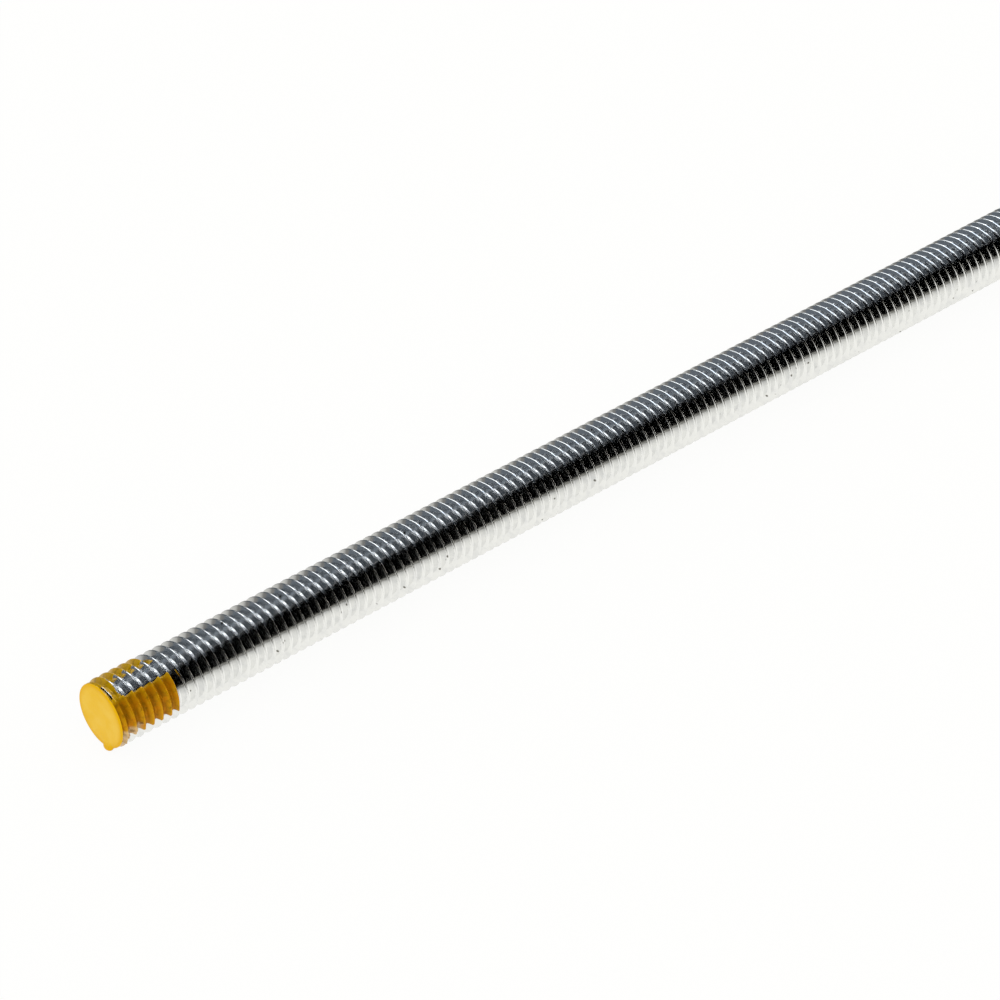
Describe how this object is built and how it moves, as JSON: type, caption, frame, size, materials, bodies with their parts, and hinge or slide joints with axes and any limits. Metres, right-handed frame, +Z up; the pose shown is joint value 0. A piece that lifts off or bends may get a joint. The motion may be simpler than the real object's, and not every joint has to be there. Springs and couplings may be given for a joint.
{
  "type": "threaded rod",
  "caption": "Straight steel rod with a coarse right-hand metric thread over its whole length and a coat of yellow paint on one end.",
  "frame": {"origin": "centre of the bare end face, on the rod's axis", "axes": "+X along the rod's axis and out of its bare end, +Z up, the painted end at -X, the side with most paint facing -Y"},
  "size_m": [0.3009, 0.0102, 0.0102],
  "materials": {
    "zinc_steel": "bright zinc plating with fine rolling marks",
    "yellow_paint": "glossy dipped paint, thin on the crests"
  },
  "bodies": {
    "root": {"rod": "zinc_steel", "end_paint": "yellow_paint"}
  },
  "joints": []
}
